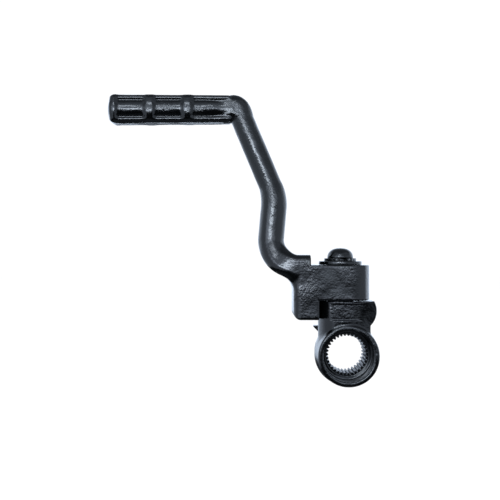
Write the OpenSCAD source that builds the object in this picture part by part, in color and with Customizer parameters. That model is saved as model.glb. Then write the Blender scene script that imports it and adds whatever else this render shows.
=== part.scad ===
// Folding kick start lever: a splined boss that clamps on the kick shaft, and a forged lever
// that swivels on the boss's upright stud, from folded flat along the engine to standing out.
// Frame: origin on the spline's axis at the middle of its length, +Y along the bore towards the
// engine, +Z from the bore up the lever, -X the way the folded pedal points. Millimetres.

/* [Spline boss] */
// Diameter across the serration's tooth tips
spline_tip_d = 21.5; // [19:0.1:22]
// Diameter at the bottom of the serration's grooves
spline_root_d = 23.9; // [23:0.1:25.5]
// Number of serration teeth
spline_teeth = 34; // [28:1:36]
// Width of each tooth tip in degrees
spline_land = 3.6; // [3.2:0.1:4.4]
// Length of the serration along the bore
spline_len = 16; // [12:0.5:20]
// Outside diameter of the boss
boss_d = 34.8; // [33:0.2:38]
// Diameter of the plain recess for the clamp bolt's head
recess_d = 29; // [27:0.2:30]
// Depth of the recess in front of the serration
recess_depth = 9.5; // [6:0.5:12]
// Rounding of the boss's outer edges
boss_edge = 1.2; // [0.5:0.1:2]
// Growth of the boss's radius from each end to its parting plane
boss_draft = 1.15; // [0:0.05:2]

/* [Neck and stops] */
// Width of the shoulder around the stud
shoulder_w = 5.4; // [4.8:0.1:6.5]
// Height of the shoulder above the spline's axis
shoulder_z = 31.2; // [29:0.2:35]
// Distance of the flat front panel from the stud's axis
panel_in = 9.8; // [9:0.1:11]
// Height of the flat front panel
panel_h = 9.3; // [6:0.1:10]
// Thickness of the shoulder's rim above the panel
rim_h = 1.6; // [1:0.1:2.5]
// Reach of the open stop lug from the stud's axis
lug_reach = 19.75; // [17:0.05:22]
// Radius of the open stop lug's round side
lug_r = 11.35; // [10:0.05:12]
// Reach of the ledge below the hook, beyond the neck
ledge_reach = 1.9; // [0.5:0.1:3]
// Drop of that ledge below the shoulder
ledge_drop = 15.6; // [15:0.1:18]

/* [Pivot] */
// Offset of the stud's axis from the spline's axis
pivot_x = -3.5; // [-5:0.1:-1]
// Diameter of the stud that the lever turns on
stud_d = 15; // [13:0.1:16.5]
// Height of the stud's domed head above the retaining ring
head_h = 6; // [5:0.1:8]
// Rounding of the stud's domed head
head_round = 5.9; // [4:0.1:6]
// Running clearance on the radius between stud and lever
pivot_fit = 0.05; // [0.02:0.01:0.1]
// Gap between faces that slide past each other
slide_gap = 0.3; // [0.2:0.05:0.4]
// Thickness of the thrust washer
washer_t = 2; // [1:0.05:2.5]
// Width of the thrust washer's flange from bore to rim
washer_w = 4.8; // [3.5:0.1:5]
// Thickness of the retaining ring
clip_t = 1.6; // [1.2:0.1:2]
// Depth of the stud's groove for the retaining ring
groove_d = 0.9; // [0.5:0.05:1.2]
// Radial width of the retaining ring opposite its gap
clip_w = 3; // [2.2:0.1:3.4]
// Reach of the retaining ring's eyes beyond the stud
clip_eye_reach = 3.9; // [3.4:0.1:4.4]

/* [Knuckle] */
// Wall of the knuckle's round eye outside the stud
eye_wall = 9.3; // [8.5:0.1:11]
// Thickness of the knuckle from front to back
knuckle_t = 26; // [24:0.5:28]
// Height of the knuckle along the stud
knuckle_h = 20.3; // [17:0.1:24]
// Distance of the knuckle's far face from the stud's axis
knuckle_reach = 27.8; // [25:0.1:31]
// Drop of the stop hook below the knuckle
hook_drop = 11; // [9:0.1:13]
// Rounding of the hook's outer lower corner
hook_corner = 4.5; // [3:0.1:6]
// Rounding of the knuckle's upright corners
knuckle_edge = 2.6; // [1:0.1:3]
// Height of the arm's shoulder above the knuckle's machined top
arm_rise = 5.8; // [4:0.1:7]
// Distance of that shoulder's end face from the stud's axis
arm_end = 17.9; // [16:0.1:19]
// Radius of the inside round between the arm and the knuckle's far face
crotch_r = 9; // [4:0.5:12]

/* [Detent] */
// Diameter of the detent ball
ball_d = 5; // [4:0.1:5]
// Depth of the blind hole for spring and ball
detent_depth = 14; // [11:0.5:16]
// Diameter of the detent spring's wire
spring_wire = 0.7; // [0.5:0.05:0.9]
// Number of the detent spring's turns
spring_turns = 7; // [4:1:9]

/* [Arm] */
// Width of the arm at the lower bend
arm_d_low = 15.1; // [13:0.1:16]
// Width of the arm at the elbow
arm_d_high = 13.2; // [11:0.1:14]
// Radius of the lower bend's centre line
low_bend_r = 15.2; // [12:0.1:18]
// Distance of that bend's centre inside the knuckle's far face
bend_inset = 2.7; // [0:0.1:5]
// Lean of the lower stretch away from the pedal, in degrees
low_lean = 5.1; // [2:0.1:10]
// Length of the lower straight stretch
low_len = 17.4; // [12:0.1:30]
// Radius of the middle bend's centre line
mid_bend_r = 28; // [20:1:40]
// Lean of the upper stretch towards the pedal, in degrees
high_lean = 23; // [15:0.5:32]
// Length of the upper straight stretch, to the elbow's corner
high_len = 47; // [35:0.1:70]
// Swell of the elbow across its corner
elbow_swell = 1.1; // [0:0.02:3]

/* [Pedal] */
// Length of the pedal from the elbow's corner to its end
pedal_len = 75.6; // [64:0.1:90]
// Height of the pedal across its tread
pedal_h = 17.3; // [15:0.1:18]
// Height of the pedal where it leaves the elbow
pedal_root_h = 16.2; // [14:0.1:17]
// Thickness of the pedal at its ribs
pedal_t = 16.4; // [14:0.1:19]
// Distance between two tread ribs
rib_pitch = 21.7; // [18:0.1:24]
// Width of one tread rib
rib_w = 5.1; // [4:0.1:6.5]
// How far the ribs stand above the flat lands
rib_h = 0.9; // [0.5:0.05:1.3]
// Depth of the hollows between the ribs
pocket_depth = 1.5; // [0.6:0.05:2]

/* [Hidden] */
$fn = 96;
eps = 0.01;
black_paint = [0.05, 0.05, 0.06];
oxide_black = [0.12, 0.12, 0.13];
bright_steel = [0.75, 0.76, 0.78];

spline_tip_r = spline_tip_d / 2;
spline_root_r = spline_root_d / 2;
spline_pitch = 360 / spline_teeth;
spline_root_flat = 0.2;
rear_y = spline_len / 2;
lip_y = -spline_len / 2 - recess_depth;
boss_len = rear_y - lip_y;
boss_r = boss_d / 2;
recess_r = recess_d / 2;
rear_edge = boss_edge * 2 / 3;
lip_chamfer = 0.4;
crown_r = boss_r + boss_draft;

pivot_y = (lip_y + rear_y) / 2;
stud_r = stud_d / 2;
bore_r = stud_r + pivot_fit;
neck_r = stud_r + shoulder_w;
neck_inset = 0.15;
panel_top = shoulder_z - rim_h;
lug_drop = 5.8;
lug_z = shoulder_z - lug_drop;
lug_start = panel_in + 0.1;
web_inset = 3.45;
web_side = lug_reach - web_inset;
ledge_z = shoulder_z - ledge_drop;
ledge_h = 7;
ledge_root = 3;
ledge_lip = 1;

knuckle_bot = shoulder_z + slide_gap;
knuckle_top = knuckle_bot + knuckle_h;
hook_bot = knuckle_bot - hook_drop;
hook_in = neck_r + slide_gap;
eye_r = stud_r + eye_wall;
half_t = knuckle_t / 2;
block_edge = 0.9;
hook_edge = 1.4;

washer_gap = 0.05;
washer_z = knuckle_top + washer_gap;
washer_fit = 0.15;
washer_in_r = stud_r + washer_fit;
washer_out_r = washer_in_r + washer_w;
clip_z = washer_z + washer_t + washer_gap;
clip_play = 0.05;
groove_r = stud_r - groove_d;
clip_in_r = groove_r + clip_play;
clip_off = 0.35;
clip_gap = 3.4;
clip_eye_r = 1.9;
clip_eye_hole = 0.8;
clip_eye_at = stud_r + clip_eye_reach - clip_eye_r;
clip_turn = 4;
head_z = clip_z + clip_t;

ball_r = ball_d / 2;
ball_fit = 0.05;
ball_lift = 0.05;
ball_wall = 0.8;
ball_z = shoulder_z + ball_lift + ball_r;
ball_at = bore_r + ball_wall + ball_r + ball_fit;
detent_r = ball_r + ball_fit;
detent_top = knuckle_bot + detent_depth;
dimple_r = 1.5;
dimple_depth = 0.6;
dimple_ball_r = (dimple_r * dimple_r + dimple_depth * dimple_depth) / (2 * dimple_depth);
spring_gap = 0.1;
spring_bot = ball_z + ball_r + spring_gap;
spring_top = detent_top - spring_gap;
spring_fit = 0.45;
spring_r = detent_r - spring_fit - spring_wire / 2;
spring_steps = 14;
spring_sides = 6;

// The arm's centre line, from the knuckle out to the pedal. A heading is the way the path runs,
// in degrees up from +X in the XZ plane.
tail_half = 6.8;
tail_edge = 4.1;
tail_z = knuckle_top + arm_rise - tail_half;
tail_x = pivot_x - arm_end;
low_half = arm_d_low / 2;
high_half = arm_d_high / 2;
pedal_half_h = pedal_h / 2;
pedal_half_t = pedal_t / 2;
root_half_h = pedal_root_h / 2;
land_half_t = pedal_half_t - rib_h;
pedal_edge = 5.6;
low_head = 90 - low_lean;
high_head = 90 + high_lean;
pedal_head = 180;

function dir(h) = [cos(h), sin(h)];
function lerp(a, b, t) = a + (b - a) * t;
function clamp01(v) = min(1, max(0, v));
function ease(v) = let (t = clamp01(v)) t * t * (3 - 2 * t);

low_centre = [pivot_x - knuckle_reach + bend_inset, tail_z + low_bend_r];
low_start = low_centre + low_bend_r * dir(low_head + 90);
mid_start = low_start + low_len * dir(low_head);
mid_centre = mid_start + mid_bend_r * dir(low_head + 90);
mid_end = mid_centre + mid_bend_r * dir(high_head - 90);
elbow = mid_end + high_len * dir(high_head);
elbow_in_r = 1.5;
// Centre of the small inside round of the elbow: it lies outside both inner edges by its radius
elbow_off = high_half + elbow_in_r;
elbow_drop = root_half_h + elbow_in_r;
elbow_slide = (elbow_off * sin(high_head + 90) + elbow_drop) / sin(high_head);
elbow_pin = elbow + elbow_off * dir(high_head + 90) - elbow_slide * dir(high_head);
// The crotch's round touches the bend's outer side and the knuckle's far face
bend_out_r = low_bend_r + (tail_half + low_half) / 2;
crotch_run = crotch_r + bend_inset;
crotch_x = pivot_x - knuckle_reach - crotch_r;
crotch_z = low_centre[1] - sqrt(pow(bend_out_r + crotch_r, 2) - pow(crotch_run, 2));
crotch_touch = crotch_r * crotch_run / (bend_out_r + crotch_r);
crotch_half = half_t - tail_edge;
pedal_z = elbow[1];
pedal_tip = elbow[0] - pedal_len;
pedal_root = elbow_pin[0];

// A station is [x, z, heading, half width in the XZ plane, half thickness in Y, radius of the
// section's corners, depth of the tread hollows]
tail_stations = [for (x = [tail_x, low_centre[0]])
    [x, tail_z, 180, tail_half, half_t, tail_edge, 0]];
low_steps = 12;
low_slim = 1.3;
low_stations = [for (i = [1:low_steps])
    let (t = i / low_steps, h = lerp(180, low_head, t), p = low_centre + low_bend_r * dir(h + 90),
        slim = pow(ease(t), low_slim))
    [p[0], p[1], h, lerp(tail_half, low_half, ease(2 * t)), lerp(half_t, low_half, slim),
        lerp(tail_edge, low_half, slim), 0]];
mid_steps = 6;
mid_stations = [for (i = [0:mid_steps])
    let (t = i / mid_steps, h = lerp(low_head, high_head, t), p = mid_centre + mid_bend_r * dir(h - 90),
        w = lerp(low_half, high_half, t * t))
    [p[0], p[1], h, w, w, w, 0]];
elbow_steps = 9;
swell_late = 2;
elbow_stations = [for (i = [0:elbow_steps])
    let (t = i / elbow_steps, h = lerp(high_head, pedal_head, t),
        w = lerp(high_half, root_half_h, t) + elbow_swell / 2 * sin(180 * pow(t, swell_late)),
        p = elbow_pin + (elbow_in_r + w) * dir(h - 90))
    [p[0], p[1], h, w, lerp(high_half, land_half_t, ease(t)), lerp(high_half, pedal_edge, t), 0]];
// The tread: how far a rib or the end has risen at a place along the pedal, 0 on the land
rib_r = rib_w / 2;
rib_edge = 1.6;
groove_cut = 0.5;
bay_ramp = 2;
bay_start = rib_r + rib_edge;
root_land = 3;
root_ramp = 12;
tip_inset = 0.4;
rib_count = 3;
ribs = [for (i = [0:rib_count - 1]) pedal_tip + rib_r + tip_inset + i * rib_pitch];
last_rib = ribs[rib_count - 1];
function rib_at(x) = max([for (c = ribs) let (d = abs(x - c) / rib_r) d < 1 ? sqrt(1 - d * d) : 0]);
function groove_at(x) = max([for (c = ribs) clamp01(1 - abs(abs(x - c) - rib_r - rib_edge / 2) / rib_edge)]);
function bay_at(x) = min([for (c = ribs) ease((abs(x - c) - bay_start) / bay_ramp)])
    * ease((pedal_root - root_land - x) / root_ramp);
// Places of the pedal's rings: a fixed set of steps to both sides of each rib, and the root's own
rib_steps = [0, 0.4 * rib_r, 0.8 * rib_r, rib_r, rib_r + rib_edge / 2, bay_start, bay_start + bay_ramp / 2,
    bay_start + bay_ramp];
root_steps = [0.3, 0.6, 0.8];
pedal_marks = concat(
    [for (c = ribs, d = rib_steps, side = [-1, 1]) if (c + side * d > ribs[0] - eps) c + side * d],
    [for (c = ribs) if (c < last_rib) c + rib_pitch / 2],
    [for (t = root_steps) lerp(pedal_root, last_rib + bay_start + bay_ramp, t)]);
function sorted_down(v) = len(v) < 2 ? v : let (m = v[floor(len(v) / 2)])
    concat(sorted_down([for (e = v) if (e > m) e]), [m], sorted_down([for (e = v) if (e < m) e]));
pedal_stations = [for (x = sorted_down(pedal_marks))
    let (rise = rib_at(x), height = lerp(root_half_h, pedal_half_h, (pedal_root - x) / (pedal_root - pedal_tip)))
    [x, pedal_z, 180, height, lerp(land_half_t, pedal_half_t, rise) - groove_cut * groove_at(x) * (1 - rise),
        pedal_edge, pocket_depth * bay_at(x)]];
// The rounded end, from the last rib's crown to a small flat
end_turns = [25, 45, 62, 76];
end_blunt = 0.35;
end_stations = [for (a = end_turns)
    let (k = pow(cos(a), end_blunt))
    [ribs[0] - (ribs[0] - pedal_tip) * sin(a) / sin(end_turns[len(end_turns) - 1]), pedal_z, 180,
        pedal_half_h * k, pedal_half_t * k, pedal_edge * k, 0]];
lever_stations = concat(tail_stations, low_stations, mid_stations, elbow_stations, pedal_stations,
    end_stations);
lever_sides = 36;

// One ring of points round a station: a rectangle with round corners, hollowed beside a ridge at
// mid height. A height across the tread is a share of the half width
ridge_side = 0.12;
ridge_ramp = 0.16;
rail_side = 0.74;
rail_ramp = 0.14;
function hollow_at(u) = ease((abs(u) - ridge_side) / ridge_ramp) * ease((rail_side - abs(u)) / rail_ramp);
function corner(c, half, r) = sign(c) * (half - r) + r * c;
function ring_points(s) = [for (k = [0:lever_sides - 1])
    let (a = 360 * (k + 0.5) / lever_sides,
        side = corner(sin(a), s[3], s[5]),
        y = corner(cos(a), s[4], s[5]) * (1 - s[6] / s[4] * hollow_at(side / s[3])),
        n = dir(s[2] - 90))
    [s[0] + n[0] * side, pivot_y - y, s[1] + n[1] * side]];

// A closed tube through rings of points, one ring after another
module loft(rings) {
    n = len(rings[0]);
    m = len(rings);
    walls = [for (i = [0:m - 2], k = [0:n - 1]) let (k2 = (k + 1) % n)
        [i * n + k, (i + 1) * n + k, (i + 1) * n + k2, i * n + k2]];
    caps = [[for (k = [0:n - 1]) k], [for (k = [n - 1:-1:0]) (m - 1) * n + k]];
    polyhedron([for (r = rings) each r], concat(caps, walls), convexity = 8);
}

// A shape drawn in the XZ plane, made solid from y0 to y1
module along_y(y0, y1) {
    translate([0, y1, 0])
        rotate([90, 0, 0])
            linear_extrude(y1 - y0)
                children();
}

// A rectangle from lo to hi with four round corners
module round_rect(lo, hi, r) {
    translate([lo[0] + r, lo[1]])
        square([hi[0] - lo[0] - 2 * r, hi[1] - lo[1]]);
    translate([lo[0], lo[1] + r])
        square([hi[0] - lo[0], hi[1] - lo[1] - 2 * r]);
    for (x = [lo[0] + r, hi[0] - r], y = [lo[1] + r, hi[1] - r])
        translate([x, y])
            circle(r);
}

// The boss's outside, turned about the bore: it leans in from the parting plane to both ends
module boss_blank() {
    translate([0, lip_y, 0])
        rotate([-90, 0, 0])
            rotate_extrude() {
                square([boss_r - boss_edge, boss_len]);
                polygon([[0, boss_edge], [boss_r, boss_edge], [crown_r, boss_len / 2],
                    [boss_r, boss_len - rear_edge], [0, boss_len - rear_edge]]);
                translate([boss_r - boss_edge, boss_edge])
                    circle(boss_edge);
                translate([0, boss_len - rear_edge])
                    square([boss_r - rear_edge, rear_edge]);
                translate([boss_r - rear_edge, boss_len - rear_edge])
                    circle(rear_edge);
            }
}

// The neck's plan: round where the hook swings past, square where the two stops stand
module neck_plan() {
    circle(neck_r);
    translate([-neck_r, 0])
        square([neck_r, rear_y - pivot_y]);
}

// The neck, flush inside the boss's front and rear faces: the folded stop is as high as the hook
module neck() {
    intersection() {
        translate([pivot_x, pivot_y, 0]) {
            cylinder(h = shoulder_z, r = neck_r);
            translate([0, 0, hook_bot + slide_gap])
                linear_extrude(shoulder_z - hook_bot - slide_gap)
                    neck_plan();
        }
        translate([-boss_d, lip_y + neck_inset, 0])
            cube([2 * boss_d, boss_len - neck_inset, shoulder_z]);
    }
}

// The lug that the hook's flat inner face meets when the lever stands out
module open_stop() {
    intersection() {
        along_y(lip_y + neck_inset, pivot_y + panel_in) {
            translate([pivot_x + lug_reach - lug_r, lug_z])
                circle(lug_r);
            translate([pivot_x, 0])
                square([web_side, lug_z]);
        }
        translate([pivot_x, lip_y, 0])
            cube([lug_reach + eps, boss_len, shoulder_z]);
    }
}

// The ledge under the folded hook, at the back left of the neck
module ledge() {
    x = pivot_x - neck_r;
    along_y(pivot_y + stud_r, rear_y)
        polygon([[x - ledge_reach, ledge_z], [x + ledge_root, ledge_z], [x + ledge_root, ledge_z - ledge_h],
            [x, ledge_z - ledge_reach - ledge_lip]]);
}

// The flat sunk into the neck's front between the shoulder's rim and the boss
module panel_cut() {
    translate([pivot_x - boss_r, pivot_y - panel_in - boss_r, panel_top - panel_h])
        cube([boss_r + lug_start, boss_r, panel_h]);
}

// The stud with its ring groove and domed head
module stud() {
    translate([pivot_x, pivot_y, 0])
        rotate_extrude() {
            difference() {
                translate([0, shoulder_z - 1])
                    square([stud_r, head_z + head_h - head_round - shoulder_z + 1]);
                translate([groove_r, clip_z - clip_play])
                    square([stud_r, clip_t + 2 * clip_play]);
            }
            translate([0, head_z + head_h - head_round - eps])
                square([stud_r - head_round, head_round + eps]);
            intersection() {
                translate([stud_r - head_round, head_z + head_h - head_round])
                    circle(head_round);
                translate([0, head_z + head_h - head_round - eps])
                    square([stud_r, head_round + 1]);
            }
        }
}

// The serration: a true bore at the tooth tips with one groove cut beside each tooth
module spline_cut() {
    half_gap = (spline_pitch - spline_land) / 2;
    mouth = [spline_tip_r * sin(half_gap), spline_tip_r * cos(half_gap)];
    slope = (mouth[0] - spline_root_flat) / (spline_root_r - mouth[1]);
    inner = [mouth[0] + slope, mouth[1] - 1];
    translate([0, -spline_len / 2 - eps, 0])
        rotate([-90, 0, 0])
            cylinder(h = spline_len + 1, r = spline_tip_r);
    for (i = [0:spline_teeth - 1])
        rotate([0, i * spline_pitch, 0])
            along_y(-spline_len / 2 - eps, rear_y + 1)
                polygon([[-inner[0], inner[1]], inner, [spline_root_flat, spline_root_r],
                    [-spline_root_flat, spline_root_r]]);
}

// The recess for the clamp bolt's head, with its broken edge
module recess_cut() {
    translate([0, lip_y - 1, 0])
        rotate([-90, 0, 0])
            cylinder(h = recess_depth + 1, r = recess_r);
    translate([0, lip_y - eps, 0])
        rotate([-90, 0, 0])
            cylinder(h = lip_chamfer, r1 = recess_r + lip_chamfer, r2 = recess_r);
}

// The two dimples that the ball drops into, folded and standing out
module dimples() {
    for (a = [0, 90])
        translate([pivot_x + ball_at * cos(a), pivot_y + ball_at * sin(a),
            shoulder_z + dimple_ball_r - dimple_depth])
            sphere(dimple_ball_r);
}

module splined_boss() {
    color(black_paint) {
        difference() {
            union() {
                boss_blank();
                neck();
                open_stop();
                ledge();
            }
            panel_cut();
            recess_cut();
            spline_cut();
            dimples();
        }
        stud();
    }
}

// The knuckle's plan: a round eye, flat cheeks and a rounded far end
module knuckle_plan() {
    intersection() {
        circle(eye_r);
        translate([-eye_r, -half_t])
            square([2 * eye_r, knuckle_t]);
    }
    round_rect([-knuckle_reach, -half_t], [0, half_t], knuckle_edge);
}

// The inside round that carries the arm's outer bend into the knuckle's far face
module crotch() {
    along_y(pivot_y - crotch_half, pivot_y + crotch_half)
        translate([crotch_x, crotch_z])
            difference() {
                translate([crotch_touch, 0])
                    square([crotch_r + knuckle_edge - crotch_touch, crotch_r + knuckle_edge]);
                circle(crotch_r);
            }
}

// The knuckle's block above the shoulder, its long edges broken
module knuckle_block() {
    intersection() {
        translate([0, 0, knuckle_bot])
            linear_extrude(knuckle_h)
                knuckle_plan();
        rotate([90, 0, 90])
            translate([0, 0, -knuckle_reach - 1])
                linear_extrude(knuckle_reach + eye_r + 2)
                    round_rect([-half_t, knuckle_bot], [half_t, knuckle_top], block_edge);
    }
}

// The hook that hangs beside the neck and meets its stops
module hook() {
    top = knuckle_bot + hook_corner + 1;
    intersection() {
        translate([0, 0, hook_bot])
            linear_extrude(top - hook_bot)
                knuckle_plan();
        rotate([90, 0, 90])
            translate([0, 0, -knuckle_reach - 1])
                linear_extrude(knuckle_reach)
                    round_rect([-half_t, hook_bot], [half_t, knuckle_top], hook_edge);
        along_y(-eye_r, eye_r) {
            translate([-knuckle_reach, hook_bot + hook_corner])
                square([knuckle_reach - hook_in, top - hook_bot - hook_corner]);
            translate([-knuckle_reach + hook_corner, hook_bot])
                square([knuckle_reach - hook_in - hook_corner, hook_corner + eps]);
            translate([-knuckle_reach + hook_corner, hook_bot + hook_corner])
                circle(hook_corner);
        }
    }
}

module lever() {
    color(black_paint)
        difference() {
            union() {
                loft([for (s = lever_stations) ring_points(s)]);
                crotch();
                translate([pivot_x, pivot_y, 0]) {
                    knuckle_block();
                    hook();
                }
            }
            translate([pivot_x, pivot_y, hook_bot])
                cylinder(h = knuckle_h + 2 * hook_drop, r = bore_r);
            translate([pivot_x + ball_at, pivot_y, knuckle_bot - 1])
                cylinder(h = detent_depth + 1, r = detent_r);
        }
}

module thrust_washer() {
    color(oxide_black)
        translate([pivot_x, pivot_y, washer_z])
            difference() {
                cylinder(h = washer_t, r = washer_out_r);
                translate([0, 0, -1])
                    cylinder(h = washer_t + 2, r = washer_in_r);
            }
}

// The ring is thickest opposite its gap, and each end carries an eye for the pliers
module retaining_ring() {
    eye_angle = asin((clip_gap / 2 + clip_eye_r) / clip_eye_at);
    color(oxide_black)
        translate([pivot_x, pivot_y, clip_z])
            rotate([0, 0, clip_turn - 90])
                linear_extrude(clip_t)
                    difference() {
                        union() {
                            translate([-clip_off, 0])
                                circle(clip_in_r + clip_w - clip_off);
                            for (side = [-1, 1])
                                rotate([0, 0, side * eye_angle])
                                    translate([clip_eye_at, 0])
                                        circle(clip_eye_r);
                        }
                        circle(clip_in_r);
                        translate([0, -clip_gap / 2])
                            square([clip_eye_at + 2 * clip_eye_r, clip_gap]);
                        for (side = [-1, 1])
                            rotate([0, 0, side * eye_angle])
                                translate([clip_eye_at, 0])
                                    circle(clip_eye_hole);
                    }
}

module detent_ball() {
    color(bright_steel)
        translate([pivot_x + ball_at, pivot_y, ball_z])
            sphere(ball_r);
}

// A closed-ended compression spring, its wire swept round a helix
module detent_spring() {
    n = spring_turns * spring_steps;
    wire = spring_wire / 2;
    rise = spring_top - spring_bot - spring_wire;
    rings = [for (i = [0:n])
        let (a = 360 * i / spring_steps, t = i / n, z = spring_bot + wire + rise * t)
        [for (k = [0:spring_sides - 1])
            let (b = 360 * k / spring_sides, r = spring_r + wire * cos(b))
            [pivot_x + ball_at + r * cos(a), pivot_y + r * sin(a), z + wire * sin(b)]]];
    color(bright_steel)
        loft(rings);
}

splined_boss();
lever();
thrust_washer();
retaining_ring();
detent_ball();
detent_spring();
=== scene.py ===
import bpy
import numpy as np
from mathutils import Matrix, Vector


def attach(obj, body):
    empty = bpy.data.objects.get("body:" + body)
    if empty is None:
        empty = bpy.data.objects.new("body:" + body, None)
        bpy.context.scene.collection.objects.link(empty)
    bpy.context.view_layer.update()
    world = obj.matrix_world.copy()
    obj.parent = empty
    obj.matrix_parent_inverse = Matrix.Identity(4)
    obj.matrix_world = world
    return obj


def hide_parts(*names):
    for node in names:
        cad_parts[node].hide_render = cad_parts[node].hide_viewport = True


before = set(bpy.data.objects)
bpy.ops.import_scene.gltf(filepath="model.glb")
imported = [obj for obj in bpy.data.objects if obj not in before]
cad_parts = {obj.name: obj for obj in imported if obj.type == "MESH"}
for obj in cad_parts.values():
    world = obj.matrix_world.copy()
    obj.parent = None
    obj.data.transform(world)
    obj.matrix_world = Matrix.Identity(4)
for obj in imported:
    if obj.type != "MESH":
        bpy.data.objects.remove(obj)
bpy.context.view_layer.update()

# Sizes are in millimetres, in the frame of the part: the bore runs along Y, Z is up the lever.

# Splined boss
# One steel forging that the engine's kick shaft drives: a round boss with a bolt recess, a neck
# with two stops, and the stud that the lever turns on. Forged, machined in the bore and on the
# shoulder, then painted gloss black all over.
MM = 0.001
BOSS_R = 17.4
BOSS_DRAFT = 0.09
BOSS_EDGE = 1.1
LIP_Y = -17.5
REAR_Y = 8.0
RECESS_R = 14.5
RECESS_EDGE = 0.9
SPLINE_Y = -8.0
SLEEVE_R = 12.4
PIVOT = (-3.5, -4.75)
NECK_R = 12.9
NECK_SET = 0.8
NECK_EDGE = 0.5
NECK_FILLET = 1.2
SHOULDER_Z = 31.2
HOOK_BOTTOM_Z = 20.5
STOP_EDGE = 0.6
PANEL_IN = 10.9
PANEL_Z = (20.3, 29.6)
PANEL_END = 10.2
PANEL_SLANT = 0.4
PANEL_EDGE = 0.5
BEVEL_SLOPE = 0.2
BEVEL_SCALE = 0.95
BEVEL_EDGE = 0.4
LUG_CENTRE = (4.9, 25.4)
LUG_R = 11.35
LUG_BACK = 9.8
LUG_EDGE = 1.6
LUG_FILLET = 0.8
WEB_X = 12.8
WEB_Z = (2, 24)
LEDGE_X = -18.3
LEDGE_ROOT = 8
LEDGE_Z = (5, 15.6)
LEDGE_TIP_H = 1.0
LEDGE_FRONT = 7.5
LEDGE_EDGE = 0.3
LEDGE_FILLET = 1.5
DIAGONAL = 0.707
PEEL_MM = 1.0
PITS_MM = 1 / 0.6
PATCH_MM = 1 / 0.07
MACHINED_LAP = 0.1
MACHINED_FADE = 0.4
BOSS_STEP = 0.35
BOSS_BOX = ((-21, -20.5, -20.5), (20.5, 10.5, 34))
BOSS_GRAIN = [(5.0, 0.04, 3), (2.2, 0.02, 4)]


def srgb(text):
    """A hex colour as linear red, green, blue and alpha."""
    part = np.array([int(text[i:i + 2], 16) for i in (1, 3, 5)]) / 255
    linear = np.where(part <= 0.04045, part / 12.92, ((part + 0.055) / 1.055) ** 2.4)
    return (*linear, 1.0)


def add(tree, kind, inputs=(), out=0, **settings):
    """Adds a node with its settings, fills or links inputs by name or number, gives an output."""
    node = tree.nodes.new(kind)
    for key, value in settings.items():
        setattr(node, key, value)
    for key, value in dict(inputs).items():
        if isinstance(value, bpy.types.NodeSocket):
            tree.links.new(value, node.inputs[key])
        else:
            node.inputs[key].default_value = value
    return node.outputs[out]


def surface(name, colour, metallic, roughness):
    """A material with a plain shader, and the two as (material, node tree, shader)."""
    material = bpy.data.materials.new(name)
    material.use_nodes = True
    shader = material.node_tree.nodes["Principled BSDF"]
    shader.inputs["Base Color"].default_value = srgb(colour)
    shader.inputs["Metallic"].default_value = metallic
    shader.inputs["Roughness"].default_value = roughness
    return material, material.node_tree, shader


def enamel():
    """Gloss black enamel: a dark, wet look, with orange peel and patches of forging grain.

    The height of the skin is peel + 5 pits * patch, where the patch fades the pits in and out. In
    the bore and its recess, which are machined, the skin lies smooth.
    """
    material, tree, shader = surface("gloss_black_enamel", "#030405", 0.0, 0.14)
    shader.inputs["IOR"].default_value = 1.5
    place = add(tree, "ShaderNodeTexCoord", out="Object")
    peel = {"Vector": place, "Scale": 1 / (PEEL_MM * MM), "Detail": 2}
    peel = add(tree, "ShaderNodeTexNoise", peel)
    pits = {"Vector": place, "Scale": 1 / (PITS_MM * MM), "Detail": 3, "Roughness": 0.65}
    pits = add(tree, "ShaderNodeTexNoise", pits)
    patch = {"Vector": place, "Scale": 1 / (PATCH_MM * MM), "Detail": 1}
    patch = add(tree, "ShaderNodeTexNoise", patch)
    patch = {"Value": patch, "From Min": 0.42, "From Max": 0.66}
    patch = add(tree, "ShaderNodeMapRange", patch)
    rough = add(tree, "ShaderNodeMath", {0: pits, 1: patch}, operation="MULTIPLY")
    skin = add(tree, "ShaderNodeMath", {0: rough, 1: 5.0, 2: peel}, operation="MULTIPLY_ADD")
    from_bore = add(tree, "ShaderNodeVectorMath", {0: place, 1: (1, 0, 1)}, operation="MULTIPLY")
    from_bore = add(tree, "ShaderNodeVectorMath", {0: from_bore}, out="Value", operation="LENGTH")
    ends = {1: RECESS_R * MM, 2: (RECESS_R + MACHINED_FADE) * MM, 3: 0.03, 4: 0.28}
    depth = add(tree, "ShaderNodeMapRange", {0: from_bore, **ends})
    bump = add(tree, "ShaderNodeBump", {"Height": skin, "Distance": 0.0002, "Strength": depth})
    tree.links.new(bump, shader.inputs["Normal"])
    return material


def link(name, mesh, material):
    """A new object at the origin that holds the mesh, shaded smooth, in one material."""
    piece = bpy.data.objects.new(name, mesh)
    bpy.context.scene.collection.objects.link(piece)
    mesh.polygons.foreach_set("use_smooth", np.ones(len(mesh.polygons), dtype=bool))
    mesh.materials.append(material)
    return piece


def rounded(across, along, radius):
    """Distance to the part that two shapes share, with the edge between them rounded by radius.

    It is the usual distance to a corner, hypot of the two distances, both moved in by radius.
    """
    a, b = across + radius, along + radius
    return np.minimum(np.maximum(a, b), 0) + np.hypot(np.maximum(a, 0), np.maximum(b, 0)) - radius


def joined(a, b, fillet):
    """Distance to two shapes grown together, with a fillet about that wide between them.

    The smaller distance, less h * h * fillet / 4, with h = 1 where the two are equal and 0 where
    they differ by the fillet or more.
    """
    h = np.maximum(fillet - np.abs(a - b), 0) / fillet
    return np.minimum(a, b) - h * h * fillet / 4


def cut(a, b, edge):
    """Distance to shape a without shape b, with the edge between them eased."""
    return -joined(-a, b, edge)


def span(v, low, high):
    """Distance to the slab between two planes."""
    return np.maximum(low - v, v - high)


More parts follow.
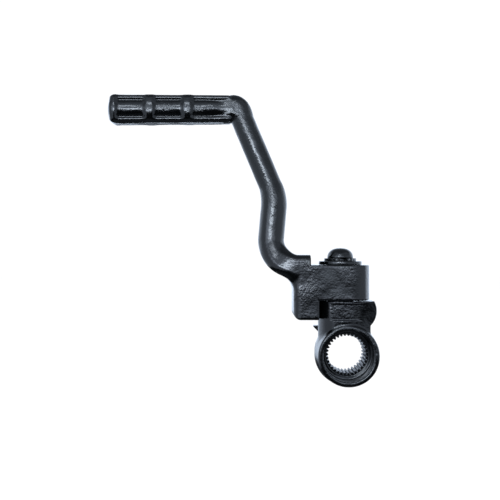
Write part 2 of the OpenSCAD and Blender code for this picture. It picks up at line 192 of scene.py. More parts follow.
def lattice(low, high, step):
    """Three open arrays of x, y and z that cover a box."""
    axes = [np.arange(a, b + step, step, dtype=np.float32) for a, b in zip(low, high)]
    return np.meshgrid(*axes, indexing="ij", sparse=True)


def field_mesh(name, distance, low, high, step):
    """A closed mesh of quads where the distance function is zero, its faces outward, in mm.

    Each lattice cell that the surface crosses holds one vertex, first at the mean of the points
    where the surface crosses the cell's edges. Each crossed lattice edge is the middle of one quad.
    Then every vertex p steps onto the surface twice: p - d g / (g . g), with the distance d and its
    slope g at p.
    """
    field = distance(*lattice(low, high, step))
    inside = field < 0
    corners = np.array(list(np.ndindex(2, 2, 2)))
    cells = np.array(field.shape) - 1
    filled = np.zeros(cells, dtype=np.int8)
    for corner in corners:
        filled += inside[tuple(slice(c, c + n) for c, n in zip(corner, cells))]
    crossed = (filled > 0) & (filled < 8)
    where = np.argwhere(crossed)
    number = np.full(cells, -1)
    number[crossed] = np.arange(len(where))
    value = np.stack([field[tuple((where + corner).T)] for corner in corners], 1)
    total, hits = np.zeros((len(where), 3)), np.zeros((len(where), 1))
    for first in range(8):
        for axis, stride in enumerate((4, 2, 1)):
            if corners[first][axis] == 0:
                a, b = value[:, first], value[:, first + stride]
                hit = ((a < 0) != (b < 0))[:, None]
                share = np.where(hit[:, 0], a / np.where(a == b, 1, a - b), 0)[:, None]
                total += hit * (corners[first] + share * np.eye(3)[axis])
                hits += hit
    points = np.array(low) + step * (where + total / hits)
    nudge, least_slope = 0.02, 0.2
    for _ in range(2):
        gap = np.clip(distance(*points.T), -step / 2, step / 2)
        rise = [distance(*(points + k).T) - distance(*(points - k).T) for k in nudge * np.eye(3)]
        slope = np.stack(rise, -1) / (2 * nudge)
        points -= (gap / np.maximum((slope ** 2).sum(-1), least_slope))[:, None] * slope
    quads = []
    for axis in range(3):
        u, v = np.eye(3, dtype=int)[(axis + 1) % 3], np.eye(3, dtype=int)[(axis + 2) % 3]
        near = inside.take(range(field.shape[axis] - 1), axis)
        far = inside.take(range(1, field.shape[axis]), axis)
        edge = np.argwhere(near != far)
        leaving = near[tuple(edge.T)][:, None]
        quad = np.stack([number[tuple((edge - k).T)] for k in (0 * u, u, u + v, v)], 1)
        quads.append(np.where(leaving, quad, quad[:, ::-1]))
    quads = np.concatenate(quads).astype(np.int32)
    mesh = bpy.data.meshes.new(name)
    mesh.vertices.add(len(points))
    mesh.vertices.foreach_set("co", (points * MM).astype(np.float32).ravel())
    mesh.loops.add(quads.size)
    mesh.loops.foreach_set("vertex_index", quads.ravel())
    mesh.polygons.add(len(quads))
    mesh.polygons.foreach_set("loop_start", np.arange(0, quads.size, 4, dtype=np.int32))
    mesh.update(calc_edges=True)
    return mesh


def grain(points, pitch, seed):
    """Smooth random values from -1 to 1 at points, from a lattice of random numbers pitch apart.

    Between its eight corners the value runs by the products of the smooth steps along the axes.
    """
    size = 64
    table = np.random.default_rng(seed).uniform(-1, 1, (size, size, size))
    cell = points / pitch
    base = np.floor(cell).astype(int)
    part = cell - base
    part = part * part * (3 - 2 * part)
    value = np.zeros(len(points))
    for corner in np.ndindex(2, 2, 2):
        weight = np.prod(np.where(corner, part, 1 - part), axis=1)
        i, j, k = ((base + corner) % size).T
        value += weight * table[i, j, k]
    return value


def roughen(mesh, layers, smooth_r=0.0):
    """Sinks every vertex along its normal by 0 to 2 h for each layer of grain (pitch, h, seed).

    Surfaces within smooth_r of the bore's axis are machined, so they stay as they are.
    """
    co = np.empty(3 * len(mesh.vertices), dtype=np.float32)
    normal = np.empty_like(co)
    mesh.vertices.foreach_get("co", co)
    mesh.vertices.foreach_get("normal", normal)
    points = co.reshape(-1, 3) / MM
    lift = sum(height * (grain(points, pitch, seed) - 1) for pitch, height, seed in layers)
    lift *= np.hypot(points[:, 0], points[:, 2]) > smooth_r
    points += normal.reshape(-1, 3) * lift[:, None]
    mesh.vertices.foreach_set("co", (points * MM).astype(np.float32).ravel())
    mesh.update()


def boss_distance(x, y, z):
    """The boss, neck, stops and ledge grown together, with the recess and the bore's seat cut out.

    The boss is a cylinder on the bore's axis, its side leaning in from the parting plane, which
    runs through the stud, to both ends. The neck is a cylinder on the stud's axis, grown together
    with a block and a lug, which are the two stops. The neck's panel is a plane PANEL_IN from the
    stud, and past its slanting end a bevel falls away. The ledge is a block, its foot cut away
    under 45 degrees.
    """
    ring = np.hypot(x, z)
    half_depth = (REAR_Y - LIP_Y) / 2
    side = ring - BOSS_R - (half_depth - np.abs(y - PIVOT[1])) * BOSS_DRAFT
    body = rounded(side, span(y, LIP_Y, REAR_Y), BOSS_EDGE)
    qx, qy = x - PIVOT[0], y - PIVOT[1]
    core = np.maximum(np.hypot(qx, qy) - NECK_R, span(y, LIP_Y + NECK_SET, REAR_Y))
    core = rounded(core, span(z, 0, SHOULDER_Z), NECK_EDGE)
    stop = np.maximum(span(qx, -NECK_R, 0), span(y, PIVOT[1], REAR_Y))
    stop = rounded(stop, span(z, HOOK_BOTTOM_Z, SHOULDER_Z), STOP_EDGE)
    lug = np.hypot(x - LUG_CENTRE[0], z - LUG_CENTRE[1]) - LUG_R
    lug = np.maximum(lug, span(z, 0, SHOULDER_Z))
    web = np.maximum(span(x, PIVOT[0], WEB_X), span(z, *WEB_Z))
    lug_depth = span(y, LIP_Y + NECK_SET, PIVOT[1] + LUG_BACK)
    lug = rounded(np.minimum(lug, web), lug_depth, LUG_EDGE)
    lug = np.maximum(lug, -qx)
    neck = joined(core, joined(lug, stop, LUG_FILLET), NECK_FILLET)
    neck = cut(neck, np.maximum(qy + PANEL_IN, span(z, *PANEL_Z)), PANEL_EDGE)
    past_end = qx - PANEL_END - (z - PANEL_Z[0]) * PANEL_SLANT
    bevel = (BEVEL_SLOPE * past_end - qy - PANEL_IN) * BEVEL_SCALE
    neck = rounded(neck, bevel, BEVEL_EDGE)
    neck = np.maximum(neck, z - SHOULDER_Z)
    ledge = np.maximum(span(x, LEDGE_X, PIVOT[0] - LEDGE_ROOT), span(z, *LEDGE_Z))
    ledge = np.maximum(ledge, (LEDGE_X - x + LEDGE_Z[1] - LEDGE_TIP_H - z) * DIAGONAL)
    ledge = rounded(ledge, span(y, PIVOT[1] + LEDGE_FRONT, REAR_Y), LEDGE_EDGE)
    body = joined(joined(body, neck, NECK_FILLET), ledge, LEDGE_FILLET)
    body = np.maximum(body, span(y, LIP_Y, REAR_Y))
    body = cut(body, np.maximum(ring - RECESS_R, y - SPLINE_Y), RECESS_EDGE)
    return np.maximum(body, SLEEVE_R - ring)


paint = enamel()
boss_mesh = field_mesh("boss_forging", boss_distance, *BOSS_BOX, BOSS_STEP)
roughen(boss_mesh, BOSS_GRAIN, RECESS_R + MACHINED_LAP)
boss = link("boss_forging", boss_mesh, paint)
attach(boss, "boss")
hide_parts("splined_boss")


# Serration of the bore
# The same piece of steel, broached through the bore: 34 teeth that grip the kick shaft. Drawn as
# a sleeve of its own because its flanks are finer than the forging's mesh.
TEETH = 34
TIP_R = 10.75
ROOT_R = 11.95
TIP_LAND = 0.34
ROOT_LAND = 0.12
TOOTH_CHAMFER = 0.35
SLEEVE_IN = 0.06
SLEEVE_LAP = 0.3
SLEEVE_STRIPS = 6
PAINTED_STRIPS = (0, 4, 5)


def ring_mesh(name, rings, capped=False):
    """Quads between rings of as many points each, in mm: a closed loop of rings, or two caps."""
    rings = np.asarray(rings)
    count, around = rings.shape[:2]
    index = np.arange(count * around).reshape(count, around)
    above = np.roll(index, -1, 0)
    quads = np.stack([index, above, np.roll(above, -1, 1), np.roll(index, -1, 1)], -1)
    faces = quads[:count - capped].reshape(-1, 4).tolist()
    if capped:
        faces += [index[0].tolist(), index[-1, ::-1].tolist()]
    mesh = bpy.data.meshes.new(name)
    mesh.from_pydata((rings.reshape(-1, 3) * MM).tolist(), [], faces)
    mesh.update()
    return mesh


def serration():
    """One tooth is a flat tip, two flanks and a narrow root, repeated round the bore.

    The lands are shares of one tooth's turn. Both ends are chamfered and run out to the sleeve.
    """
    root = 0.5 + TIP_LAND / 2
    marks = np.array([0, TIP_LAND / 2, TIP_LAND, root - ROOT_LAND / 2, root + ROOT_LAND / 2])
    turn = 2 * np.pi * (np.arange(TEETH)[:, None] + marks - TIP_LAND / 2).ravel() / TEETH
    radius = np.tile([TIP_R, TIP_R, TIP_R, ROOT_R, ROOT_R], TEETH)
    outer = np.full_like(radius, SLEEVE_R + SLEEVE_LAP)
    front, back = SPLINE_Y + SLEEVE_IN, REAR_Y - SLEEVE_IN
    y = np.array([front, front, front + TOOTH_CHAMFER, back - TOOTH_CHAMFER, back, back])
    wide = radius + TOOTH_CHAMFER
    r = np.array([outer, wide, radius, radius, wide, outer])
    y = np.broadcast_to(y[:, None], r.shape)
    return ring_mesh("serration", np.stack([r * np.cos(turn), y, r * np.sin(turn)], -1))


def bare_steel(name, colour, roughness, grain_mm, stretch=(1, 1, 1)):
    """Bare steel with a fine grain in its roughness and height, drawn out along an axis by stretch.

    The roughness runs from 0.7 to 1.3 times the value given.
    """
    material, tree, shader = surface(name, colour, 1.0, roughness)
    place = add(tree, "ShaderNodeTexCoord", out="Object")
    place = add(tree, "ShaderNodeVectorMath", {0: place, 1: stretch}, operation="MULTIPLY")
    marks = {"Vector": place, "Scale": 1 / (grain_mm * MM), "Detail": 2}
    marks = add(tree, "ShaderNodeTexNoise", marks)
    worn = {"Value": marks, "To Min": 0.7 * roughness, "To Max": 1.3 * roughness}
    tree.links.new(add(tree, "ShaderNodeMapRange", worn), shader.inputs["Roughness"])
    bump = add(tree, "ShaderNodeBump", {"Height": marks, "Distance": 0.00003, "Strength": 0.3})
    tree.links.new(bump, shader.inputs["Normal"])
    return material


# broached_steel: a dull grey sheen on the flanks, drawn out along the cut; the sleeve's end faces
# and its back are painted
teeth_mesh = serration()
broached_steel = bare_steel("broached_steel", "#4c4d50", 0.4, 0.3, (1, 0.08, 1))
teeth = link("serration", teeth_mesh, broached_steel)
teeth_mesh.polygons.foreach_set("use_smooth", np.zeros(len(teeth_mesh.polygons), dtype=bool))
teeth_mesh.materials.append(paint)
strip = np.repeat(np.arange(SLEEVE_STRIPS), len(teeth_mesh.polygons) // SLEEVE_STRIPS)
painted = np.isin(strip, PAINTED_STRIPS).astype(np.int32)
teeth_mesh.polygons.foreach_set("material_index", painted)
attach(teeth, "boss")
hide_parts("splined_boss")


# Stud
# The upright spigot of the same forging, turned to 15 mm for the lever, grooved for the
# retaining ring and left with a domed head.
STUD_R = 7.5
STUD_ROOT = 3
RING_Z = (53.9, 55.5)
GROOVE_R = 6.6
GROOVE_PLAY = 0.05
HEAD_TOP = 61.5
DOME_H = 5.5


def turned(name, profile, centre, capped, around=160):
    """A profile of (radius, height) points turned about an upright axis."""
    profile = np.asarray(profile, dtype=float)
    turn = 2 * np.pi * np.arange(around) / around
    r, z = profile[:, 0, None], profile[:, 1, None]
    rings = [centre[0] + r * np.cos(turn), centre[1] + r * np.sin(turn), z + 0 * turn]
    return ring_mesh(name, np.stack(rings, -1), capped)


def dome(radius, top, height, count):
    """A full-shouldered oval from foot to crown: r = R cos(t)^0.85, z = foot + H sin(t)^0.95."""
    turn = np.radians(np.linspace(0, 88, count))
    r, rise = radius * np.cos(turn) ** 0.85, height * np.sin(turn) ** 0.95
    return np.stack([r, top - height + rise], -1)


groove_z = (RING_Z[0] - GROOVE_PLAY, RING_Z[1] + GROOVE_PLAY)
groove_lip = STUD_R - 2 * GROOVE_PLAY
stud_profile = np.concatenate([
    [(STUD_R, SHOULDER_Z - STUD_ROOT), (STUD_R, RING_Z[0] - 3 * GROOVE_PLAY)],
    [(groove_lip, groove_z[0]), (GROOVE_R, groove_z[0])],
    [(GROOVE_R, groove_z[1]), (groove_lip, groove_z[1])],
    dome(STUD_R, HEAD_TOP, DOME_H, 20),
])
stud = link("stud", turned("stud", stud_profile, PIVOT, True), paint)
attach(stud, "boss")
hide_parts("splined_boss")


# Lever
# One steel forging: pedal, elbow, bent arm, knuckle and stop hook. The arm is round bar, swelling
# into the knuckle's flat cheeks; the pedal is hollowed between three tread ribs for grip.
KNUCKLE_Z = (31.5, 51.8)
KNUCKLE_REACH = 27.8
KNUCKLE_HALF = 13.0
KNUCKLE_EDGE = 0.9
CHEEK_END = 8
CHEEK_EDGE = 4.6
EYE_R = 16.8
EYE_EDGE = 3.0
HOOK_IN = 13.2
HOOK_CORNER = 4.5
HOOK_ROOT_Z = 44
HOOK_EDGE = 1.4
BORE_PLAY = 0.05
BORE_EDGE = 0.4
ARM_TOP_Z = 57.6
ARM_END = 17.9
ARM_END_LAP = 3
ARM_END_EDGE = 0.6
ARM_TAIL = 6.8
ARM_LOW = 7.65
ARM_HIGH = 6.75
TAIL_EDGE = 4.1
TAIL_FILLET = 7.5
TAIL_SLIM_POWER = 1.3
BEND_STEPS = 90
LINE_STEP = 0.5
LOW_BEND_R = 15.2
BEND_IN = 2.75
LOW_LEAN = 5.1
LOW_LEN = 17.4
MID_BEND_R = 28.0
HIGH_LEAN = 23.0
HIGH_LEN = 47.3
ELBOW_IN_R = 1.5
ELBOW_SWELL = 0.8
PEDAL_LEN = 75.45
PEDAL_H = 8.36
ROOT_H = 7.81
PEDAL_T = 8.2
PEDAL_EDGE = 5.6
PEDAL_ROOT = 4
TIP_LAP = 5
TIP_CROWN_R = 30
TIP_EDGE = 3.5
WEB_T = 5.4
WEB_EDGE = 2.4
WEB_LEAD = 9
CORE_T = 7.6
CORE_RUN = 16
CORE_SCALE = 7.0
CORE_EDGE = 2.4
RAIL_T = 6.6
RAIL_H = 3.5
RAIL_EDGE = 1.5
RAIL_END_SLANT = 0.35
RAIL_END_SCALE = 0.94
RAIL_END_EDGE = 2.0
RAIL_FILLET = 0.5
BEVEL = 9.6
BEVEL_NORMAL = (0.57, 0.82)
BEVEL_ROUND = 1.0
RIB_PITCH = 21.7
RIB_W = 5.1
RIB_IN = 0.4
RIB_SQUARE = 3.2
RIB_SCALE = 7.5
RIB_EDGE = 1.3
RIB_FILLET = 2.0
BAY_FILLET = 0.6
LEVER_STEP = 0.5
LEVER_BOX = ((-142, -20, 17.5), (16, 10.5, 153))
LEVER_GRAIN = [(6.0, 0.05, 11), (2.4, 0.03, 12)]


def ease(v):
    """0 below 0, 1 above 1, and a smooth step between."""
    t = np.clip(v, 0, 1)
    return t * t * (3 - 2 * t)


def toward(heading):
    """Unit vectors in the XZ plane, their heading in degrees up from +X."""
    a = np.radians(heading)
    return np.stack([np.cos(a), np.sin(a)], -1)


def bend(centre, radius, start, end, side):
    """Centre line round a bend: points, with headings from start to end and the centre on side."""
    return centre - side * radius * toward(np.linspace(start, end, BEND_STEPS) + 90)


def sections(points, half_width, half_thickness, edge):
    """Rows of a centre line and its sections: x, z, half width, half thickness, corner radius."""
    x, z = np.array(points, dtype=float).T
    return np.stack(np.broadcast_arrays(x, z, half_width, half_thickness, edge), -1)


def arm_line():
    """The lever's centre line with its sections, the elbow's corner, and where the pedal starts.

    From the knuckle it turns up round the low bend, runs straight, leans out round the middle bend,
    runs straight again and turns round the pin of the elbow into the pedal. Widths run evenly with
    the share t of each bend, or by a smooth step or a power of it.
    """
    tail_z = ARM_TOP_Z - ARM_TAIL
    low_head, high_head = 90 - LOW_LEAN, 90 + HIGH_LEAN
    low_centre = np.array([PIVOT[0] - KNUCKLE_REACH + BEND_IN, tail_z + LOW_BEND_R])
    low_start = low_centre + LOW_BEND_R * toward(low_head + 90)
    mid_start = low_start + LOW_LEN * toward(low_head)
    mid_centre = mid_start + MID_BEND_R * toward(low_head + 90)
    mid_end = mid_centre - MID_BEND_R * toward(high_head + 90)
    elbow = mid_end + HIGH_LEN * toward(high_head)
    off, drop = ARM_HIGH + ELBOW_IN_R, ROOT_H + ELBOW_IN_R
    slide = (off * np.sin(np.radians(high_head + 90)) + drop) / np.sin(np.radians(high_head))
    pin = elbow + off * toward(high_head + 90) - slide * toward(high_head)
    t = np.linspace(0, 1, BEND_STEPS)

    tail = sections([(PIVOT[0] - ARM_END + ARM_END_LAP, tail_z)], ARM_TAIL, KNUCKLE_HALF, TAIL_EDGE)
    slim = ease(t) ** TAIL_SLIM_POWER
    low = sections(
        bend(low_centre, LOW_BEND_R, 180, low_head, -1),
        ARM_TAIL + (ARM_LOW - ARM_TAIL) * ease(2 * t),
        KNUCKLE_HALF + (ARM_LOW - KNUCKLE_HALF) * slim,
        TAIL_EDGE + (ARM_LOW - TAIL_EDGE) * slim,
    )
    bar = ARM_LOW + (ARM_HIGH - ARM_LOW) * t ** 2
    middle = sections(bend(mid_centre, MID_BEND_R, low_head, high_head, 1), bar, bar, bar)
    swell = ARM_HIGH + (ROOT_H - ARM_HIGH) * t + ELBOW_SWELL * np.sin(np.pi * t ** 2)
    out = (ELBOW_IN_R + swell)[:, None] * toward(np.linspace(high_head, 180, BEND_STEPS) - 90)
    high = sections(pin + out, swell, ARM_HIGH, ARM_HIGH + (PEDAL_EDGE - ARM_HIGH) * t)
    tip = elbow[0] - PEDAL_LEN
    pedal_x = np.array([pin[0] - WEB_LEAD, tip, tip - TIP_LAP])
    pedal_h = [ROOT_H + (PEDAL_H - ROOT_H) * 0.15, PEDAL_H, PEDAL_H]
    pedal = sections(np.stack([pedal_x, np.full(3, elbow[1])], -1), pedal_h, WEB_T, WEB_EDGE)
    return np.concatenate([tail, low, middle, high, pedal]), elbow, pin[0]


def resample(rows, step):
    """The same line with rows an even step apart, and how far along each row lies."""
    run = np.concatenate([[0], np.cumsum(np.hypot(*np.diff(rows[:, :2], axis=0).T))])
    even = np.arange(0, run[-1], step)
    return np.stack([np.interp(even, run, column) for column in rows.T], -1), even


def nearest_row(spots, line):
    """For each (x, z) spot the number of the line's nearest row, worked out in batches."""
    nearest = np.empty(len(spots), dtype=int)
    batch = 8192
    for first in range(0, len(spots), batch):
        x, z = spots[first:first + batch].T[:, :, None]
        gap = (x - line[None, :, 0]) ** 2 + (z - line[None, :, 1]) ** 2
        nearest[first:first + batch] = gap.argmin(1)
    return nearest


def bar_distance(x, y, z, rows):
    """Arm and pedal web: a rounded rectangle carried along the centre line.

    Across the line, |offset x tangent| less the half width; along Y, the distance from the middle
    plane less the half thickness; their edge is rounded by the section's corner radius. A wide
    fillet carries the arm's outer bend into the knuckle's far face.
    """
    line, run = resample(rows, LINE_STEP)
    tangent = np.gradient(line[:, :2], axis=0)
    tangent /= np.linalg.norm(tangent, axis=1)[:, None]
    spots = np.stack(np.broadcast_arrays(x, z), -1)
    flat = spots.reshape(-1, 2)
    nearest = nearest_row(flat, line)
    offset = flat - line[nearest, :2]
    along = run[nearest] + (offset * tangent[nearest]).sum(1)
    side = np.abs(offset[:, 0] * tangent[nearest, 1] - offset[:, 1] * tangent[nearest, 0])
    width, thick, edge = (np.interp(along, run, line[:, k]) for k in (2, 3, 4))
    side, width, thick, edge = (v.reshape(spots.shape[:-1]) for v in (side, width, thick, edge))
    qx = x - PIVOT[0]
    far_face = rounded(span(qx, -KNUCKLE_REACH, 0), span(z, *KNUCKLE_Z), KNUCKLE_EDGE)
    # it grows in over 6 mm from 4 mm past the arm's end, and over 4 mm down from its middle line
    outside = ease((-ARM_END - 4 - qx) / 6)
    below_tail = ease((ARM_TOP_Z - ARM_TAIL + 1 - z) / 4)
    outline = joined(side - width, far_face, 0.1 + TAIL_FILLET * outside * below_tail)
    bar = rounded(outline, np.abs(y - PIVOT[1]) - thick, edge)
    return rounded(bar, qx + ARM_END, ARM_END_EDGE)


def tread(bar, x, y, z, elbow, root_x):
    """The web's bays, ribs and domed tip.

    Each bay is an oval core, hypot(z / a, y / b) = 1, between two rails whose outer edges are
    bevelled. A rib is a squarer oval, |z / a|^3.2 + |y / b|^3.2 = 1. Above and below, the pedal
    ends at planes that taper to its root, and the tip is cut by a shallow dome.
    """
    tip = elbow[0] - PEDAL_LEN
    up = z - elbow[1]
    rise = np.abs(up)
    yy = np.abs(y - PIVOT[1])
    half = PEDAL_H + (ROOT_H - PEDAL_H) * np.clip((x - tip) / (root_x - tip), 0, 1.2)
    core_t = CORE_T + (ARM_HIGH - CORE_T) * ease((x - root_x + CORE_RUN) / CORE_RUN)
    oval = np.hypot(up / CORE_T, yy / core_t)
    core = rounded((oval - 1) * CORE_SCALE, x - root_x - PEDAL_ROOT, CORE_EDGE)
    bead = rounded(span(rise, half - RAIL_H, half), yy - RAIL_T, RAIL_EDGE)
    bead = rounded(bead, rise * BEVEL_NORMAL[1] + yy * BEVEL_NORMAL[0] - BEVEL, BEVEL_ROUND)
    past_end = x - root_x - 1 - (half - rise) * RAIL_END_SLANT
    rail = rounded(bead, past_end * RAIL_END_SCALE, RAIL_END_EDGE)
    ribs = tip + RIB_W / 2 + RIB_IN + RIB_PITCH * np.arange(3)
    from_rib = np.min([np.abs(x - rib) for rib in ribs], axis=0)
    bulge = ((rise / half) ** RIB_SQUARE + (yy / PEDAL_T) ** RIB_SQUARE) ** (1 / RIB_SQUARE)
    rib = rounded((bulge - 1) * RIB_SCALE, from_rib - RIB_W / 2, RIB_EDGE)
    pedal = joined(bar, joined(core, rail, RAIL_FILLET), BAY_FILLET)
    limit = np.where(x < root_x - PEDAL_ROOT, rise - half, up - PEDAL_H)
    pedal = np.maximum(joined(pedal, rib, RIB_FILLET), limit)
    crown = tip + (np.minimum(rise, 12) ** 2 + yy ** 2) / (2 * TIP_CROWN_R) - x
    return cut(pedal, -crown, TIP_EDGE)


def lever_distance(x, y, z):
    """The bar with its tread, and the knuckle with its hook, less the stud's bore.

    The knuckle's plan is a round eye with flat cheeks, run up through its height. The hook is the
    same plan below it, with a quarter-round heel and a flat inner face.
    """
    rows, elbow, root_x = arm_line()
    arm = tread(bar_distance(x, y, z, rows), x, y, z, elbow, root_x)
    qx, yy = x - PIVOT[0], np.abs(y - PIVOT[1])
    from_stud = np.hypot(qx, yy)
    eye = rounded(from_stud - EYE_R, yy - KNUCKLE_HALF, EYE_EDGE)
    cheeks = rounded(span(qx, -KNUCKLE_REACH, CHEEK_END), yy - KNUCKLE_HALF, CHEEK_EDGE)
    plan = np.minimum(eye, cheeks)
    block = rounded(plan, span(z, *KNUCKLE_Z), KNUCKLE_EDGE)
    past_heel = np.minimum(qx + KNUCKLE_REACH - HOOK_CORNER, 0)
    under_heel = np.minimum(z - HOOK_BOTTOM_Z - HOOK_CORNER, 0)
    heel = np.hypot(past_heel, under_heel) - HOOK_CORNER
    heel = np.maximum(heel, span(z, HOOK_BOTTOM_Z, HOOK_ROOT_Z))
    hook = np.maximum(rounded(plan, HOOK_BOTTOM_Z - z, HOOK_EDGE), heel)
    hook = rounded(hook, qx + HOOK_IN, KNUCKLE_EDGE)
    body = np.minimum(arm, np.minimum(block, hook))
    return cut(body, from_stud - STUD_R - BORE_PLAY, BORE_EDGE)


lever_mesh = field_mesh("lever_forging", lever_distance, *LEVER_BOX, LEVER_STEP)
roughen(lever_mesh, LEVER_GRAIN)
lever = link("lever_forging", lever_mesh, paint)
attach(lever, "lever")
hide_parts("lever")


# Thrust washer
# A flat washer punched from strip, between the machined top of the knuckle and the retaining ring.
# Its edges are tumbled round before the paint.
WASHER_Z = (51.85, 53.85)
WASHER_R = (7.65, 12.45)
TUMBLED = 0.35


def washer_profile():
    """A rectangle of radius and height with its four corners rounded by quarter circles."""
    turn = np.radians(np.linspace(0, 90, 6))
    points = []
    for quarter in range(4):
        right, up = quarter in (0, 3), quarter in (0, 1)
        inward = np.array([1 - 2 * right, 1 - 2 * up])
        centre = np.array([WASHER_R[right], WASHER_Z[up]]) + TUMBLED * inward
        at = turn + quarter * np.pi / 2
        points.append(centre + TUMBLED * np.stack([np.cos(at), np.sin(at)], -1))
    return np.concatenate(points)


washer = link("washer", turned("washer", washer_profile(), PIVOT, False), paint)
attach(washer, "boss")
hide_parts("thrust_washer")


# Retaining ring
# A sprung steel ring stamped with two eyes for the pliers, snapped into the stud's groove over the
# washer. It is widest opposite its gap, so that it bends in an even curve.
CLIP_IN_R = 6.65
CLIP_OUT_R = 9.3
CLIP_OFF = 0.35
CLIP_GAP = 3.4
CLIP_TURN = -86.0
CLIP_EDGE = 0.25
CLIP_EYE_AT = 9.5
CLIP_EYE_R = 1.9
CLIP_EYE_FILLET = 0.8
CLIP_EYE_HOLE_R = 0.8
CLIP_GAP_EDGE = 0.3
CLIP_STEP = 0.16
CLIP_BOX = [
    (PIVOT[0] - 12, PIVOT[1] - 12, RING_Z[0] - 0.4),
    (PIVOT[0] + 12, PIVOT[1] + 12, RING_Z[1] + 0.4),
]
SALT_MM = 1 / 1.4


def ring_distance(x, y, z):
    """Two circles off centre leave the ring, less the gap; the eyes are joined to its ends.

    It is worked out in u, which points to the gap, and v, the distance from the ring's own middle
    line, so the two halves mirror each other.
    """
    qx, qy = x - PIVOT[0], y - PIVOT[1]
    turn = np.radians(CLIP_TURN)
    u = qx * np.cos(turn) + qy * np.sin(turn)
    v = np.abs(qy * np.cos(turn) - qx * np.sin(turn))
    band = np.maximum(np.hypot(u + CLIP_OFF, v) - CLIP_OUT_R, CLIP_IN_R - np.hypot(u, v))
    lean = np.arcsin((CLIP_GAP / 2 + CLIP_EYE_R) / CLIP_EYE_AT)
    from_eye = np.hypot(u - CLIP_EYE_AT * np.cos(lean), v - CLIP_EYE_AT * np.sin(lean))
    plan = joined(band, from_eye - CLIP_EYE_R, CLIP_EYE_FILLET)
    plan = cut(plan, np.maximum(v - CLIP_GAP / 2, -u), CLIP_GAP_EDGE)
    plan = np.maximum(plan, CLIP_EYE_HOLE_R - from_eye)
    return rounded(plan, span(z, *RING_Z), CLIP_EDGE)


# black_oxide: a thin dark skin on spring steel, duller than the paint around it
black_oxide, oxide_tree, oxide_shader = surface("black_oxide", "#08090a", 0.0, 0.22)
place = add(oxide_tree, "ShaderNodeTexCoord", out="Object")
salt = {"Vector": place, "Scale": 1 / (SALT_MM * MM), "Detail": 2}
salt = add(oxide_tree, "ShaderNodeTexNoise", salt)
bump = add(oxide_tree, "ShaderNodeBump", {"Height": salt, "Distance": 0.0001, "Strength": 0.4})
oxide_tree.links.new(bump, oxide_shader.inputs["Normal"])
clip_mesh = field_mesh("snap_ring", ring_distance, *CLIP_BOX, CLIP_STEP)
ring = link("snap_ring", clip_mesh, black_oxide)
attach(ring, "boss")
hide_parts("retaining_ring")


# Detent ball
# A hardened steel ball, bought in, that clicks into the dimples of the shoulder. The shape is the
# CAD's own; polished_bearing_steel gives it a mirror with a few rolling marks.
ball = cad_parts["detent_ball"]
ball.data.materials.clear()
ball.data.materials.append(bare_steel("polished_bearing_steel", "#b4b6ba", 0.12, 0.5))


# Detent spring
# Drawn spring wire, coiled and ground flat at both ends, that presses the ball down. The shape is
# the CAD's own; drawn_spring_wire gives it a soft grey lustre.
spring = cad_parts["detent_spring"]
spring.data.materials.clear()
spring.data.materials.append(bare_steel("drawn_spring_wire", "#85878b", 0.3, 0.2))


# Camera, light and floor
# The eye looks straight along the bore from 400 mm in front of the boss's lip, as the picture was
# taken. The paint shows the room: a white cove behind, a dim room in front, and two softboxes.
EYE_FAR = 400.0
EYE = (-55.94, LIP_Y - EYE_FAR, 60.28)
FRAME_WIDTH = 281.85
SENSOR = 36.0
FLOOR_Z = -260.0
FLOOR_X = (-6000.0, 6000.0)
FLOOR_Y = (-120.0, 8000.0)
OBJECT_MIDDLE = (-50.0, -5.0, 70.0)
LAMP_FAR = 1200.0
PLAIN_WHITE = 1.05
ROOM_DARK = 0.004
GLOW_AT = (-12, 5)
LEVEL_EDGE = (-0.11, -0.06, 0, 1)
LEVEL_RISES = ((-0.75, 0, 0.42, 0), (0.3, 0.75, 0, 0.25))


def direction(azimuth, elevation):
    """Unit vector in degrees, the azimuth from straight ahead towards +X, as seen from the part."""
    a, e = np.radians(azimuth), np.radians(elevation)
    return np.array([np.sin(a) * np.cos(e), -np.cos(a) * np.cos(e), np.sin(e)])


scene = bpy.context.scene
camera = bpy.data.objects.new("camera", bpy.data.cameras.new("camera"))
camera.data.sensor_width = SENSOR
camera.data.lens = SENSOR * EYE_FAR / FRAME_WIDTH
camera.data.clip_end = 20
camera.location = np.array(EYE) * MM
camera.rotation_euler = (np.pi / 2, 0, 0)
scene.collection.objects.link(camera)
scene.camera = camera
scene.view_settings.view_transform = "Standard"

world = bpy.data.worlds.new("white_cove")
world.use_nodes = True
scene.world = world
tree = world.node_tree
look = add(tree, "ShaderNodeTexCoord", out="Generated")
east, north, up = (add(tree, "ShaderNodeSeparateXYZ", {0: look}, out=k) for k in range(3))
to_glow = {0: look, 1: direction(*GLOW_AT)}
to_glow = add(tree, "ShaderNodeVectorMath", to_glow, out="Value", operation="DOT_PRODUCT")

# the edge of the dark ground in front climbs to the left and to the right
level = up
for start, stop, low, high in LEVEL_RISES:
    ends = {0: east, 1: start, 2: stop, 3: low, 4: high}
    rise = add(tree, "ShaderNodeMapRange", ends, interpolation_type="SMOOTHSTEP")
    level = add(tree, "ShaderNodeMath", {0: level, 1: rise}, operation="ADD")

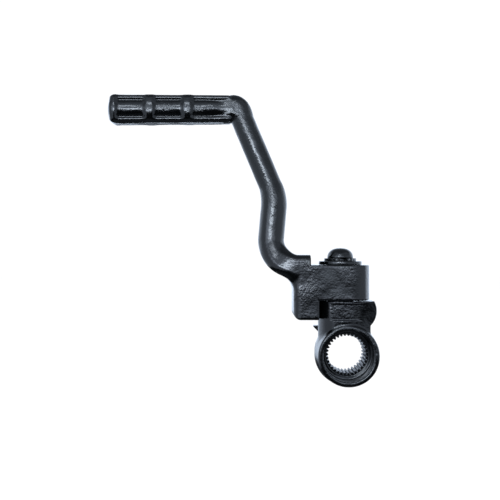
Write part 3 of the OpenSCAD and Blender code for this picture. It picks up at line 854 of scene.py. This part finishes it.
# Each part of the room is a product of smooth steps over the way the ray goes: what is looked at,
# where the step starts and stops, and the values it runs between.
ROOM = {
    "cove behind": (
        (north, -0.05, 0.45, 0, 1.05),
        (up, 0.42, 0.68, 1, 0),
        (up, -0.22, -0.02, 0.05, 1),
    ),
    "ceiling": ((up, 0.5, 0.62, 0, 0.5), (up, 0.8, 0.92, 1, 0), (north, -0.2, 0.1, 1, 0)),
    "ground below": ((up, -0.95, -0.6, 0.2, 0), (north, 0, 0.4, 1, 0.2)),
    "front": ((north, -0.97, -0.75, 0.5, 0.95), (up, 0.25, 0.7, 1, 0.3), (level, *LEVEL_EDGE)),
    "glow in front": (
        (to_glow, 0.66, 0.99, 0, 4.4),
        (up, -0.05, 0.08, 0.12, 1),
        (up, 0.1, 0.3, 1, 0.3),
        (level, *LEVEL_EDGE),
    ),
}
room = ROOM_DARK
for steps in ROOM.values():
    light = 1.0
    for value, start, stop, low, high in steps:
        ends = {0: value, 1: start, 2: stop, 3: low, 4: high}
        step = add(tree, "ShaderNodeMapRange", ends, interpolation_type="SMOOTHSTEP")
        light = add(tree, "ShaderNodeMath", {0: light, 1: step}, operation="MULTIPLY")
    room = add(tree, "ShaderNodeMath", {0: room, 1: light}, operation="ADD")

# the camera and matt surfaces see plain white, and glossy ones mirror the room, slightly blue
mirrored = add(tree, "ShaderNodeLightPath", out="Is Glossy Ray")
strength = {0: mirrored, 2: PLAIN_WHITE, 3: room}
strength = add(tree, "ShaderNodeMix", strength, data_type="FLOAT")
tint = {0: mirrored, 6: (1, 1, 1, 1), 7: srgb("#dcebff")}
tint = add(tree, "ShaderNodeMix", tint, out=2, data_type="RGBA")
tree.links.new(strength, tree.nodes["Background"].inputs["Strength"])
tree.links.new(tint, tree.nodes["Background"].inputs["Color"])


def softbox(name, azimuth, elevation, width, height, radiance):
    """A soft lamp, its place and size given as angles in degrees seen from the part.

    It stands d = LAMP_FAR off, its sides are 2 d tan(angle / 2), and its power is
    radiance * pi * area.
    """
    centre = np.array(OBJECT_MIDDLE) * MM
    far = LAMP_FAR * MM
    place = centre + far * direction(azimuth, elevation)
    lamp = bpy.data.lights.new(name, "AREA")
    lamp.shape = "RECTANGLE"
    lamp.size, lamp.size_y = 2 * far * np.tan(np.radians([width, height]) / 2)
    lamp.energy = radiance * np.pi * lamp.size * lamp.size_y
    lamp.color = srgb("#e6f2ff")[:3]
    holder = bpy.data.objects.new(name, lamp)
    holder.location = place
    holder.rotation_euler = Vector(centre - place).to_track_quat("-Z", "Y").to_euler()
    scene.collection.objects.link(holder)


softbox("upper_box", -8, 29, 20, 6, 11)
softbox("lower_box", -11, 6.2, 25, 5.6, 17)

# pale_floor_paint: a flat white with no sheen; the paint's gloss doesn't show it
floor_mesh = bpy.data.meshes.new("floor")
corners = [(FLOOR_X[i], FLOOR_Y[j], FLOOR_Z) for i, j in ((0, 0), (1, 0), (1, 1), (0, 1))]
floor_mesh.from_pydata((np.array(corners) * MM).tolist(), [], [(0, 1, 2, 3)])
floor = link("floor", floor_mesh, surface("pale_floor_paint", "#ffffff", 0.0, 0.9)[0])
floor.visible_glossy = False
